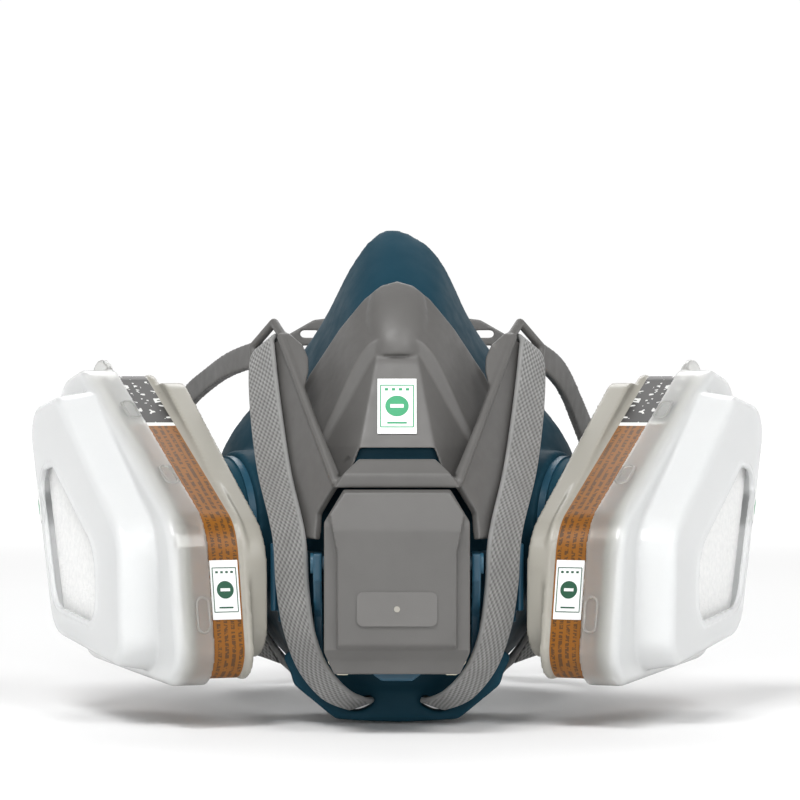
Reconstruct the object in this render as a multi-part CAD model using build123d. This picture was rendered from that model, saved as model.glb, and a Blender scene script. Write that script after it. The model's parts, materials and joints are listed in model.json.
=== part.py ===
from build123d import *
import math
import os

# Half-mask respirator with two swept-back cartridges, a drop-down latch and a head harness.
# Millimetres. +Z is up, -Y is the front, +X is the wearer's left. The origin is the middle of the
# opening that the face goes into. "left" and "right" in node names are the wearer's.

# ---------------------------------------------------------------- driving dimensions
WALL = 2.4            # silicone of the facepiece
SHELL = 2.0           # moulded plastic of the front shell, yoke and latch cover
WEB = 1.4             # thickness of the elastic webbing
WEB_WIDTH = 16.0

SWEEP = 23.0          # the cartridges' outward faces turn this far towards the front, degrees
PORT = (48.4, -7.3, -17.0)    # centre of the left port on the cartridge's inner face
PORT_TUBE_R = 15.0
PORT_BORE_R = 12.5
LUG_R = 17.2
LUG_COUNT = 3
BOSS_R = 21.0         # the facepiece's round boss at each port
BOSS_LOW, BOSS_HIGH = -13.0, -4.5

# Heights above the cartridge's inner face, along the port's axis.
CASE_STEP = 5.0       # the narrower step at the cartridge's inner side
CASE_TOP = 24.0
BAND_LOW, BAND_HIGH, BAND_THICK = 7.6, 20.5, 0.3
SKIRT_LOW = 16.2
SHOULDER = 26.4
PLATEAU = 36.2
CASE_INSET = 1.9      # from the retainer's outside to the cartridge's wall
CASE_WALL = 1.6
RETAINER_WALL = 1.1

FACE_FRONT = -38.0    # the facepiece's flat front
SEAT_Z, SEAT_R = -38.5, 11.5  # the exhalation port in it
SEAT_FRONT = -45.0

PIVOT_Y, PIVOT_Z, PIVOT_R = -58.5, -23.7, 1.8
EAR_IN, EAR_OUT = 18.9, 21.1

# ---------------------------------------------------------------- small helpers
def save(name, shape):
    export_step(shape, f"parts/{name}.step")


def save_pair(name, left):
    """The left one as modelled and the right one mirrored."""
    save(f"{name}_left", left)
    save(f"{name}_right", mirror(left, about=Plane.YZ))


def front_plane(y):
    """A sketch plane across the mask at depth y, with its own x and y along X and Z."""
    return Plane(origin=(0, y, 0), x_dir=(1, 0, 0), z_dir=(0, -1, 0))


def side_plane(x=0.0):
    """A sketch plane along the mask, with its own x and y along Y and Z."""
    return Plane(origin=(x, 0, 0), x_dir=(0, 1, 0), z_dir=(1, 0, 0))


def prism(plane, points, amount, both=False):
    return extrude(plane * make_face(Polyline(*points, close=True)), amount=amount, both=both)


def mirrored(points):
    """Closes a half outline that runs from top to bottom at x >= 0."""
    return points + [(-x, z) for x, z in reversed(points) if abs(x) > 1e-6]


def rod(start, end, radius):
    """A round bar with ball ends between two points."""
    a, b = Vector(*start), Vector(*end)
    bar = Solid.make_cylinder(radius, (b - a).length, Plane(origin=a, z_dir=(b - a).normalized()))
    return bar + Pos(*start) * Sphere(radius) + Pos(*end) * Sphere(radius)


def strip(stations, thickness):
    """A flat band through stations of (inner edge, outer edge); its thickness is centred on them."""
    corners = []
    count = len(stations)
    for i, (inner, outer) in enumerate(stations):
        before, after = stations[max(i - 1, 0)], stations[min(i + 1, count - 1)]
        along = (Vector(*after[0]) + Vector(*after[1]) - Vector(*before[0]) - Vector(*before[1]))
        across = Vector(*outer) - Vector(*inner)
        off = across.cross(along).normalized() * (thickness / 2)
        a, b = Vector(*inner), Vector(*outer)
        corners.append([a - off, b - off, b + off, a + off])
    wires = [Wire.make_polygon(c, close=True) for c in corners]
    return Solid.make_loft(wires, ruled=True)


def smoothed(stations, count):
    """More stations, on smooth curves through the inner and the outer edges of the given ones."""
    inner, outer = [Spline(*edge) for edge in zip(*stations)]
    shares = [i / (count - 1) for i in range(count)]
    return [(tuple(inner.position_at(t)), tuple(outer.position_at(t))) for t in shares]


# ---------------------------------------------------------------- facepiece
# Half outlines of the facepiece across X and Z, from nose to chin, at five depths.
FACE_SECTIONS = {
    26.0: [(0, 66), (10, 59.5), (19, 42), (30, 26), (45, 10), (51.5, -8), (49, -28), (37.5, -45), (28, -54),
           (16, -59.5), (0, -60.5)],
    2.0: [(0, 65), (9.5, 59), (18, 42), (27, 26), (38.5, 10), (44.5, -8), (43, -28), (33.5, -46), (26, -55),
          (15, -60), (0, -60.8)],
    -15.0: [(0, 54), (9, 49.5), (16, 36), (23, 22), (31, 8), (35.5, -8), (36, -28), (30, -45), (24.5, -54),
            (14, -59.5), (0, -60.5)],
    -31.0: [(0, 40), (7.5, 37), (13, 27), (18.5, 16), (24, 5), (27, -9), (28, -28), (26, -44), (21.5, -52.5),
            (13, -58), (0, -59)],
    -38.0: [(0, 32), (5.5, 30.5), (10.5, 23), (15, 13), (19.5, 3), (22, -10), (22.5, -28), (20.5, -43),
            (17, -50.5), (10, -55.5), (0, -56.5)],
}
# The rim that meets the face, as seen from the side: depth and height from nose to chin.
RIM = [(-2, 70), (1, 56), (7, 38), (16, 20), (22, 0), (22, -20), (14, -42), (3, -58), (-3, -72)]
CHIN_LIP = [(22, -44), (29.9, -49), (27.6, -53.2), (26.9, -56.3), (15.8, -65.4), (0, -66.1)]
CHIN_LIP_FRONT, CHIN_LIP_DEPTH = -36.5, 7.5
CHIN_SLOT = (10.0, -61.85)     # where the webbing goes through the lip
CHIN_SLOT_TURN = -28.0

def inset(half, amount):
    """Moves a half outline inwards by amount, along the normal at each of its points."""
    moved = []
    full = [(-half[1][0], half[1][1])] + half + [(-half[-2][0], half[-2][1])]
    for before, here, after in zip(full, full[1:], full[2:]):
        dx, dz = after[0] - before[0], after[1] - before[1]
        length = math.hypot(dx, dz)
        moved.append((here[0] + amount * dz / length, here[1] - amount * dx / length))
    moved[0] = (0.0, moved[0][1])
    moved[-1] = (0.0, moved[-1][1])
    return moved


def face_loft(amount, front_y):
    """The facepiece's filled shape, inset by amount, from the rim's side to front_y."""
    faces = []
    for y, half in FACE_SECTIONS.items():
        depth = front_y if y == min(FACE_SECTIONS) else y
        points = mirrored(inset(half, amount) if amount else half)
        faces.append(front_plane(depth) * make_face(Spline(*points, periodic=True)))
    return loft(faces)


def rim_cutter():
    far = 60.0
    edge = side_plane() * Spline(*RIM)
    close = side_plane() * Polyline(RIM[-1], (far, RIM[-1][1]), (far, RIM[0][1]), RIM[0])
    return extrude(make_face(edge + close), amount=80, both=True)


def port_plane():
    """At the left port: its own x runs rearwards, y up and z outwards, from the cartridge's inner face."""
    s, c = math.sin(math.radians(SWEEP)), math.cos(math.radians(SWEEP))
    return Plane(origin=PORT, x_dir=(s, c, 0), z_dir=(c, -s, 0))


def port_disc(radius, low, high):
    """A round disc on the port's axis between two heights above the cartridge's inner face."""
    return port_plane() * (Pos(0, 0, (low + high) / 2) * Cylinder(radius, high - low))


def facepiece_filled():
    """The outside of the silicone facepiece as one filled shape, with its bosses and chin lip."""
    shape = face_loft(0, FACE_FRONT)
    boss = port_disc(BOSS_R, BOSS_LOW, BOSS_HIGH)
    shape += boss + mirror(boss, about=Plane.YZ)
    shape += across(SEAT_R + 3.0, SEAT_FRONT, FACE_FRONT + 1)
    shape += prism(front_plane(CHIN_LIP_FRONT + CHIN_LIP_DEPTH), mirrored(CHIN_LIP), CHIN_LIP_DEPTH)
    brow = Pos(0, SHELL + 0.3, 0) * shell_block()
    return shape + (brow & Pos(0, -47, 4.6) * Box(27, 20, 14.4))

def facepiece_seal(filled):
    body = filled - face_loft(WALL, FACE_FRONT + WALL)
    bore = port_disc(PORT_TUBE_R, -32, BOSS_HIGH + 1)
    body -= bore + mirror(bore, about=Plane.YZ)
    body -= across(SEAT_R, SEAT_FRONT - 1, FACE_FRONT + WALL + 1)
    for side in (1, -1):
        slot = Pos(side * CHIN_SLOT[0], CHIN_LIP_FRONT + 3, CHIN_SLOT[1]) * Rot(0, -side * CHIN_SLOT_TURN, 0)
        body -= slot * Box(8.4, 16, 2.6)
    return body - rim_cutter()

# ---------------------------------------------------------------- front shell
# Sections of the shell: height, half width and depth of its front panel, half width and depth of its sides.
SHELL_SECTIONS = [
    (-3.0, 13.2, -54.0, 31.5, -25.0),
    (5.5, 9.6, -54.0, 31.0, -22.0),
    (12.0, 8.4, -50.3, 29.2, -19.5),
    (19.0, 7.1, -46.5, 26.4, -18.0),
    (27.0, 5.6, -42.1, 22.4, -17.0),
    (36.0, 4.8, -34.6, 16.6, -16.5),
    (45.0, 3.8, -26.5, 10.4, -16.5),
    (50.5, 2.2, -21.0, 5.2, -16.5),
]
SHELL_BACK = -8.0
SHELL_EDGE = [(0, 48.6), (4.2, 47.4), (8.6, 43.9), (15.2, 36.0), (23.2, 24.1), (33.0, 4.0), (33.0, -3.0)]
WINDOW = [(9.4, 5.4), (12.6, -3.2)]

def shell_block():
    wires = []
    for z, front, front_y, side, side_y in SHELL_SECTIONS:
        half = [(front, front_y), (side, side_y), (side, SHELL_BACK)]
        whole = half + [(-x, y) for x, y in reversed(half)]
        wires.append(Wire.make_polygon([Vector(x, y, z) for x, y in whole], close=True))
    return Solid.make_loft(wires, ruled=True)

# Sections of the rounded ridge down the middle of the nose: height, half width, half depth and middle's depth.
RIDGE_SECTIONS = [(29.2, 5.6, 3.2, -38.9), (38.7, 8.2, 7.6, -30.2), (46.0, 6.8, 5.8, -24.3),
                  (50.5, 5.2, 4.4, -18.6)]


def nose_ridge():
    """The ridge swells below the shell's apex and ends in a small step above the badge."""
    sections = [Pos(0, y, z) * Ellipse(half, deep) for z, half, deep, y in RIDGE_SECTIONS]
    return loft([section.face() for section in sections])

def front_shell(face_outside):
    """A skin over the nose of the facepiece, trimmed to a tent shape and open at its window."""
    outer = shell_block() + nose_ridge() + face_loft(-SHELL, FACE_FRONT - SHELL)
    skin = outer - Pos(0, SHELL, 0) * shell_block() - face_outside
    skin &= prism(front_plane(SHELL_BACK), mirrored(SHELL_EDGE), 60)
    skin -= prism(front_plane(-30), mirrored(WINDOW), 40)
    return max(skin.solids(), key=lambda s: s.volume)

BADGE_Z = 15.9

def badge():
    """The paper sticker on the front panel."""
    low, high = SHELL_SECTIONS[1], SHELL_SECTIONS[4]
    slope = (high[2] - low[2]) / (high[0] - low[0])
    middle = low[2] + slope * (BADGE_Z - low[0])
    return Pos(0, middle - 0.2, BADGE_Z) * Rot(-math.degrees(math.atan(slope)), 0, 0) * Box(10.0, 0.25, 16.0)

# ---------------------------------------------------------------- exhalation
def across(radius, low_y, high_y, x=0.0, z=SEAT_Z):
    """A round disc facing the front, between two depths."""
    return Pos(x, (low_y + high_y) / 2, z) * Rot(90, 0, 0) * Cylinder(radius, high_y - low_y)

VALVE_BACK = SEAT_FRONT - 1.9     # the valve's disc lies in front of this depth
VALVE_THICK = 0.7
STEM_R = 1.5

def exhalation_valve_seat():
    """A flanged ring with four spokes and a hub that holds the valve's stem."""
    ring = across(SEAT_R - 0.1, SEAT_FRONT - 1.8, SEAT_FRONT + 5)
    ring += across(SEAT_R + 2, SEAT_FRONT - 1.6, SEAT_FRONT)
    ring -= across(SEAT_R - 1.8, SEAT_FRONT - 3, SEAT_FRONT + 6)
    for turn in (0, 90):
        ring += Pos(0, SEAT_FRONT + 0.4, SEAT_Z) * Rot(0, turn, 0) * Box(2 * (SEAT_R - 1), 2.0, 1.6)
    ring += across(3.2, SEAT_FRONT - 0.6, SEAT_FRONT + 1.4)
    return ring - across(STEM_R + 0.3, SEAT_FRONT - 4, SEAT_FRONT + 4)

def exhalation_valve():
    """A thin silicone mushroom: a disc over the seat and a stem through its hub."""
    disc = across(SEAT_R - 0.8, VALVE_BACK - VALVE_THICK, VALVE_BACK)
    return disc + across(STEM_R, VALVE_BACK - 0.1, SEAT_FRONT + 5.0)

HOUSING = [(17.4, -25.2), (17.4, -45.0), (13.0, -52.0)]
HOUSING_FRONT = -54.0
HOUSING_WALL = 1.5
OUTLET_LIP = [(6.2, -50.2), (6.2, -51.6), (3.9, -53.4)]

def exhalation_housing():
    """The box over the valve that sends breath and moisture down through an outlet at its foot."""
    inner = [(x - HOUSING_WALL, z + (HOUSING_WALL if z < -30 else -HOUSING_WALL)) for x, z in HOUSING]
    box = prism(front_plane(SEAT_FRONT), mirrored(HOUSING), SEAT_FRONT - HOUSING_FRONT)
    box -= prism(front_plane(SEAT_FRONT + 1), mirrored(inner), SEAT_FRONT + 1 - HOUSING_FRONT - HOUSING_WALL)
    box -= Pos(0, -49.0, -52) * Box(20.0, 5.0, 6.0)
    box -= across(SEAT_R + 2.2, SEAT_FRONT - 2, SEAT_FRONT + 1)
    return box + prism(front_plane(HOUSING_FRONT + 1), mirrored(OUTLET_LIP), 6.5)

# ---------------------------------------------------------------- inhalation ports
def lugs(turn, low, high, inner, outer):
    """Three bayonet lugs around the port's axis."""
    ring = port_disc(outer, low, high) - port_disc(inner, low - 1, high + 1)
    wedge = Pos(12, 0, (low + high) / 2) * Box(24, 11, high - low)
    turns = [turn + i * 360 / LUG_COUNT for i in range(LUG_COUNT)]
    return ring & (Part() + [port_plane() * Rot(0, 0, t) * wedge for t in turns])

POST_LOW = -19.6

def port_connector():
    """The bayonet tube through the facepiece's side, with a flange, lugs and the valve's cross."""
    tube = port_disc(PORT_TUBE_R - 0.05, -16.5, 3.2)
    tube += port_disc(BOSS_R - 1.5, BOSS_HIGH, -2.6)
    tube -= port_disc(PORT_BORE_R, -20, 5)
    tube += lugs(0, 1.7, 3.2, PORT_TUBE_R - 1, LUG_R)
    for turn in (0, 90):
        tube += port_plane() * Pos(0, 0, -15.7) * Rot(0, 0, turn) * Box(2 * PORT_BORE_R + 1, 1.6, 1.6)
    return tube + port_disc(1.2, POST_LOW, -15.0) + port_disc(2.0, POST_LOW, POST_LOW + 1.0)

def port_gasket():
    return port_disc(BOSS_R - 2.0, -2.5, -0.3) - port_disc(PORT_TUBE_R + 0.1, -4, 1)

def inhalation_valve():
    """A thin silicone disc on the post inside the facepiece."""
    return port_disc(PORT_BORE_R + 1.2, -17.3, -16.7) - port_disc(1.5, -19, -15)

# ---------------------------------------------------------------- cartridge
# Outlines round the port, rearwards and up, with the radius of each corner: the retainer's outside,
# the step at the cartridge's inner side, the plateau on the retainer's face and the window in it.
OUTLINE = [((-46.0, -39.0), 9), ((-37.5, 3.0), 16), ((37.0, 43.2), 10), ((61.5, 38.5), 11),
           ((36.0, -35.5), 14)]
STEP_OUTLINE = [((-39.0, -32.5), 9), ((-38.6, -1.0), 16), ((27.0, 40.2), 10), ((51.0, 32.0), 11),
                ((29.0, -29.5), 12)]
PLATEAU_OUTLINE = [((-28.5, -34.5), 7), ((-26.5, 0.0), 13), ((27.5, 35.5), 9), ((55.0, 31.5), 8),
                   ((31.5, -28.5), 11)]
WINDOW_OUTLINE = [((-7.5, -24.0), 6), ((-7.5, -5.5), 13), ((31.0, 16.5), 6), ((43.0, 14.5), 5),
                  ((28.5, -21.0), 9)]

def shape_of(corners, amount=0.0):
    """The face of a rounded outline, moved outwards by amount."""
    face = make_face(FilletPolyline(*[p for p, _ in corners], radius=[r for _, r in corners], close=True))
    return offset(face, amount=amount) if amount else face

def slab(corners, amount, low, high, edge=0.0):
    """A slab of the outline parallel to the cartridge's face; edge rounds its outer rim."""
    block = Pos(0, 0, low) * extrude(shape_of(corners, amount), amount=high - low)
    if edge:
        block = fillet(block.faces().sort_by(Axis.Z)[-1].edges(), edge)
    return port_plane() * block

def mound(corners, base, amount, low, high, edge):
    """The plateau: like a slab, but with walls that spread by base towards its foot."""
    foot = Pos(0, 0, low) * shape_of(corners, amount + base)
    top = Pos(0, 0, high) * shape_of(corners, amount)
    block = loft([foot.face(), top.face()], ruled=True)
    return port_plane() * fillet(block.faces().sort_by(Axis.Z)[-1].edges(), edge)

def cartridge_case():
    """The cartridge's cup: a step with the bayonet hole at its inner side, then the full outline.

    The step is a little wider than the cup beside the port, so it keeps a roof of its own there.
    """
    cup = slab(STEP_OUTLINE, 0, 0, CASE_STEP + 1) + slab(OUTLINE, -CASE_INSET, CASE_STEP, CASE_TOP)
    cup += slab(OUTLINE, -CASE_INSET + 0.7, CASE_STEP, CASE_STEP + 1.6)
    cup -= slab(STEP_OUTLINE, -CASE_WALL, CASE_WALL, CASE_STEP + 1 - CASE_WALL)
    inside = slab(OUTLINE, -CASE_INSET - CASE_WALL, CASE_WALL, CASE_TOP + 1)
    cup -= inside & slab(STEP_OUTLINE, -CASE_WALL, CASE_WALL, CASE_TOP)
    cup -= slab(OUTLINE, -CASE_INSET - CASE_WALL, CASE_STEP + CASE_WALL, CASE_TOP + 1)
    cup -= port_disc(LUG_R + 0.4, -1, CASE_WALL + 1)
    return cup + lugs(0, 0, 1.3, PORT_TUBE_R + 0.35, LUG_R + 1.5)

GRID_PITCH = 9.5
GRID_X, GRID_Y = (-28, 45), (-30, 30)

def pierced(low, high, radius):
    """A thin plate across the cartridge with a grid of round holes."""
    plate = slab(OUTLINE, -CASE_INSET - CASE_WALL - 0.1, low, high)
    inside = port_plane() * (Pos(0, 0, low - 1) * extrude(shape_of(OUTLINE, -9.0), amount=high - low + 2))
    columns = int((GRID_X[1] - GRID_X[0]) / GRID_PITCH) + 1
    rows = int((GRID_Y[1] - GRID_Y[0]) / GRID_PITCH) + 1
    grid_x = [GRID_X[0] + i * GRID_PITCH for i in range(columns)]
    grid_y = [GRID_Y[0] + j * GRID_PITCH for j in range(rows)]
    spots = [(x, y) for x in grid_x for y in grid_y]
    holes = Sketch() + [Pos(x, y) * Circle(radius) for x, y in spots]
    return plate - (port_plane() * (Pos(0, 0, low - 1) * extrude(holes, amount=high - low + 2)) & inside)

def outlet_screen():
    return pierced(CASE_STEP + CASE_WALL, CASE_STEP + CASE_WALL + 1.0, 2.6)

def carbon_bed():
    return slab(OUTLINE, -CASE_INSET - CASE_WALL - 0.2, CASE_STEP + CASE_WALL + 1.1, CASE_TOP - 2.2)

def inlet_grille():
    return pierced(CASE_TOP - 2.0, CASE_TOP - 0.2, 3.2)

def label_band():
    band = slab(OUTLINE, -CASE_INSET + BAND_THICK, BAND_LOW, BAND_HIGH)
    return band - slab(OUTLINE, -CASE_INSET, BAND_LOW - 1, BAND_HIGH + 1)

def band_sticker():
    """A plain paper sticker on the front end of the label band."""
    low, high = BAND_LOW + 0.5, SKIRT_LOW - 0.5
    piece = slab(OUTLINE, -CASE_INSET + BAND_THICK + 0.25, low, high)
    piece -= slab(OUTLINE, -CASE_INSET + BAND_THICK + 0.02, low - 1, high + 1)
    patch = port_plane() * Pos(-42.0, -14.0, (low + high) / 2) * Box(9.0, 15.0, high - low)
    return piece & patch

def particulate_filter():
    """The pad that lies on the cartridge, under the retainer, with a raised middle."""
    edge = slab(OUTLINE, -RETAINER_WALL - 1.2, CASE_TOP + 0.1, SHOULDER - RETAINER_WALL - 0.3)
    rise = mound(PLATEAU_OUTLINE, 1.5, -3.2, CASE_TOP + 1, PLATEAU - RETAINER_WALL - 1.5, 2.0)
    return edge + rise

def retainer():
    """The snap-on cover: a skirt over the case, a shoulder, and a plateau with a window."""
    shell = slab(OUTLINE, 0, SKIRT_LOW, SHOULDER, 2.2)
    shell += mound(PLATEAU_OUTLINE, 2.0, 0, SHOULDER - 1.5, PLATEAU, 2.4)
    tab = Pos(45.0, 36.2, SKIRT_LOW + 0.9) * Cylinder(9.5, 1.8)
    tab &= Pos(45.0, 45.0, SKIRT_LOW + 0.9) * Box(24, 9.6, 1.8)
    shell += port_plane() * tab
    shell -= slab(OUTLINE, -RETAINER_WALL, SKIRT_LOW - 1, SHOULDER - RETAINER_WALL, 1.2)
    shell -= mound(PLATEAU_OUTLINE, 2.4, -RETAINER_WALL, SHOULDER - 3.5, PLATEAU - RETAINER_WALL, 1.4)
    shell += slab(WINDOW_OUTLINE, 1.3, PLATEAU - RETAINER_WALL, PLATEAU + 0.4)
    return shell - slab(WINDOW_OUTLINE, 0, PLATEAU - 4, PLATEAU + 2)

def retainer_sticker():
    """A small plain sticker beside the window, at the rear."""
    return port_plane() * Pos(44.5, 5.0, PLATEAU + 0.14) * Rot(0, 0, -16) * Box(3.2, 8.0, 0.25)

# ---------------------------------------------------------------- latch
EAR_SIDE = [(-61.8, -21.2), (-61.8, -28.0), (-52.5, -37.5), (-47.0, -49.0), (-42.0, -49.0), (-42.0, -21.2)]
BASE = [(EAR_OUT, -50.0), (30.8, -37.3), (30.8, -33.6), (EAR_IN, -46.5)]
GUIDE = [(30.0, -36.3), (31.3, -40.6), (32.7, -40.0), (32.4, -33.8), (30.0, -33.2)]
BASE_LOW, GUIDE_LOW, GUIDE_HIGH = -40.0, -37.0, -19.5

def upright(points, low, high):
    """A prism standing on an outline seen from above."""
    return Pos(0, 0, low) * extrude(make_face(Polyline(*points, close=True)), amount=high - low)

def latch_bracket():
    """The rigid channel beside the latch: an ear for the pivot pin and an ear that guides the webbing."""
    ear = prism(side_plane(EAR_IN), EAR_SIDE, EAR_OUT - EAR_IN)
    behind = [(EAR_IN - 1, -49.2), (EAR_OUT + 1, -46.0), (EAR_OUT + 1, -30), (EAR_IN - 1, -30)]
    ear -= upright(behind, BASE_LOW, 0)
    channel = ear + upright(BASE, BASE_LOW, PIVOT_Z + 2.5) + upright(GUIDE, GUIDE_LOW, GUIDE_HIGH)
    return channel - Pos(0, PIVOT_Y, PIVOT_Z) * Rot(0, 90, 0) * Cylinder(PIVOT_R, 80)

PIN_IN = 15.6

def pivot_pin():
    pin = Pos((EAR_OUT + PIN_IN) / 2, PIVOT_Y, PIVOT_Z) * Rot(0, 90, 0) * Cylinder(PIVOT_R, EAR_OUT - PIN_IN)
    return pin + Pos(EAR_OUT + 0.35, PIVOT_Y, PIVOT_Z) * Rot(0, 90, 0) * Cylinder(PIVOT_R + 0.8, 0.7)

COVER_BODY = [(13.4, -5.0), (18.2, -13.0), (18.2, -45.5), (15.7, -51.0)]
COVER_PLATEAU = [(13.2, -5.4), (16.9, -11.0), (14.9, -20.5), (14.8, -44.6)]
COVER_SIDE = [(-57.0, -5.0), (-66.0, -5.0), (-69.5, -14.0), (-70.0, -44.8), (-68.5, -47.2), (-68.0, -51.0),
              (-62.0, -51.0), (-57.0, -45.0)]
COVER_RAISED = [(-60, -5.4), (-67.8, -5.4), (-71.6, -15.0), (-71.8, -43.6), (-70.0, -44.9), (-60, -44.9)]
COVER_HOLLOW = [(11.6, -7.0), (16.2, -13.8), (16.2, -45.0), (14.2, -49.2)]
COVER_HOLLOW_SIDE = [(-40, -7.0), (-64.2, -7.0), (-67.6, -14.6), (-68.0, -44.0), (-66.5, -49.2),
                     (-40, -49.2)]

def crossed(front, side):
    """What lies inside both a front outline and a side outline."""
    return prism(front_plane(-30), mirrored(front), 60) & prism(side_plane(), side, 30, both=True)

def latch_cover():
    """The lever in front of the mask: a hollow cover with a raised plateau, hinged on two pins."""
    body = crossed(COVER_BODY, COVER_SIDE) + crossed(COVER_PLATEAU, COVER_RAISED)
    body -= crossed(COVER_HOLLOW, COVER_HOLLOW_SIDE)
    return body - Pos(0, PIVOT_Y, PIVOT_Z) * Rot(0, 90, 0) * Cylinder(PIVOT_R + 0.06, 80)

CATCH = [(17.5, -46.6), (17.5, -49.0), (15.2, -52.2), (12.5, -52.2), (10.5, -49.8)]

def latch_catch():
    """The light-coloured plate on the housing that the cover's foot snaps onto."""
    return prism(front_plane(HOUSING_FRONT - 0.02), mirrored(CATCH), 1.6)

# ---------------------------------------------------------------- yoke
RIDGE_LOW = Vector(15.6, -62.0, -3.0)
RIDGE_TOP = Vector(30.5, -24.0, 34.0)
LOBE = Vector(36.3, -27.0, 1.0)
SHEET = [(15.6, -3.0), (30.5, 34.0), (38.6, 27.7), (39.3, 25.0), (37.2, 18.0), (35.8, 12.0), (36.0, 4.5),
         (37.2, 1.0), (35.8, -3.0), (33.0, -9.0), (27.5, -17.5), (20.9, -17.5), (20.4, -11.0)]
FLANGE = [(15.6, -3.4), (30.6, 34.0), (28.6, 35.2), (24.8, 32.0), (23.2, 28.5), (23.0, 25.0), (24.2, 19.0),
          (21.4, 14.0), (14.6, -1.0)]
LOOP = [(38.6, 27.2), (39.3, 31.8), (33.4, 38.2), (30.3, 33.6)]
LOOP_R = 1.2
BAR_SIDE = [(-64.2, -4.5), (-64.2, -1.2), (-60.6, 2.6), (-58.6, 2.6), (-58.6, -4.5)]
BAR_FRONT = [(9.4, 2.8), (13.4, -1.0), (15.9, -4.5)]

def sheet_plane():
    """The flat of the left side sheet of the yoke: x along its ridge, z outwards."""
    along = (RIDGE_TOP - RIDGE_LOW).normalized()
    out = along.cross(LOBE - RIDGE_LOW).normalized()
    return Plane(origin=RIDGE_LOW, x_dir=along, z_dir=out if out.X > 0 else -out)

def on_sheet(x, z):
    """The point of the sheet's plane seen from the front at x, z."""
    n, o = sheet_plane().z_dir, RIDGE_LOW
    return Vector(x, o.Y - (n.X * (x - o.X) + n.Z * (z - o.Z)) / n.Y, z)

def yoke_half():
    """The left arm: a flat side sheet, a flange along its front ridge and the webbing's loop."""
    plane = sheet_plane()
    points = [plane.to_local_coords(on_sheet(x, z)) for x, z in SHEET]
    arm = plane * extrude(make_face(Polyline(*[(p.X, p.Y) for p in points], close=True)), amount=-SHELL)
    arm += rod(tuple(on_sheet(*SHEET[0])), tuple(on_sheet(*SHEET[1])), 1.1)
    along = plane.x_dir
    facing = along.cross(Vector(1, 0, 0)).normalized()
    face = Plane(origin=RIDGE_LOW + Vector(0, 0.6, 0), x_dir=along, z_dir=facing)
    arm += prism(front_plane(-12), FLANGE, 60) & face * Box(140, 60, SHELL)
    loop = [tuple(on_sheet(x, z) - plane.z_dir * (SHELL / 2)) for x, z in LOOP]
    for a, b in zip(loop, loop[1:]):
        arm += rod(a, b, LOOP_R)
    return arm

def yoke():
    left = yoke_half()
    bar = prism(side_plane(), BAR_SIDE, 16, both=True) & prism(front_plane(-50), mirrored(BAR_FRONT), 20)
    return bar + left + mirror(left, about=Plane.YZ)

# ---------------------------------------------------------------- webbing and harness
WEB_OFF = 0.5 + WEB / 2     # from the yoke's sheet to the middle of the webbing

def off_sheet(x, z):
    """A point in front of the yoke's side sheet, where the middle of the webbing runs."""
    return tuple(on_sheet(x, z) + sheet_plane().z_dir * WEB_OFF)

def front_webbing():
    """The webbing down the yoke's side, between the bracket's ears and through the chin lip's slot."""
    stations = [(off_sheet(31.0, 31.0), off_sheet(37.9, 25.9)),
                (off_sheet(29.6, 17.0), off_sheet(37.6, 15.0)),
                (off_sheet(26.6, 0.0), off_sheet(35.2, -1.0)),
                (off_sheet(22.3, -17.7), off_sheet(30.6, -18.4)),
                ((22.4, -56.0, -31.0), (30.8, -43.0, -30.5)),
                ((20.8, -57.0, -42.0), (28.9, -43.8, -41.5)),
                ((17.3, -52.8, -51.0), (25.0, -41.2, -52.5)),
                ((12.2, -50.0, -57.0), (20.0, -40.4, -60.2)),
                ((6.8, -39.8, -60.1), (13.2, -38.9, -63.6)),
                ((6.8, -27.4, -60.1), (13.2, -27.4, -63.6)),
                ((10.0, -20.0, -61.8), (20.0, -22.0, -61.4)),
                ((18.5, -11.0, -62.2), (29.5, -12.5, -53.0)),
                ((30.6, -2.0, -53.6), (39.0, -3.0, -39.8))]
    return strip(stations, WEB)

LOOP_WEB = (3.2, 12.5)      # where the webbing lies along the sheet's top edge


def loop_webbing():
    """The same webbing where it turns over the yoke's side and back through its loop."""
    start, end = on_sheet(*SHEET[1]), on_sheet(*SHEET[2])
    along, out = (end - start).normalized(), sheet_plane().z_dir
    up = out.cross(along).normalized()
    up = up if up.Z > 0 else -up
    stations = []
    for rise, depth in ((-1.2, WEB_OFF), (0.7, WEB_OFF - 0.1), (1.9, 0.0), (2.0, -2.6)):
        stations.append([tuple(start + along * s + up * rise + out * depth) for s in LOOP_WEB])
    stations.append(((33.2, -12.0, 33.0), (36.0, -9.9, 27.6)))
    return strip(stations, WEB)

# The cradle's side ribbons, as the lower and upper edge of each station, from the loops to the back.
RIBBON_LEFT = [((37.2, -6.2, 26.4), (36.6, -6.2, 33.4)), ((43.6, 6.0, 21.0), (44.0, 6.0, 29.0)),
               ((49.0, 24.0, 11.0), (50.0, 24.0, 19.5)), ((54.0, 42.0, 0.0), (55.0, 42.0, 9.5)),
               ((56.5, 62.0, -13.0), (57.0, 62.0, -2.0)), ((48.6, 84.2, -20.5), (48.6, 84.2, -9.5))]
RIBBON_RIGHT = [((-37.2, -6.2, 26.4), (-36.6, -6.2, 33.4)), ((-46.0, 12.0, 23.8), (-46.0, 12.0, 30.4)),
                ((-54.0, 32.0, 19.0), (-54.0, 32.0, 25.5)), ((-60.5, 50.0, 11.5), (-61.0, 50.0, 19.0)),
                ((-60.0, 66.0, -2.0), (-61.0, 66.0, 7.0)), ((-48.6, 84.2, -20.5), (-48.6, 84.2, -9.5))]
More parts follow.
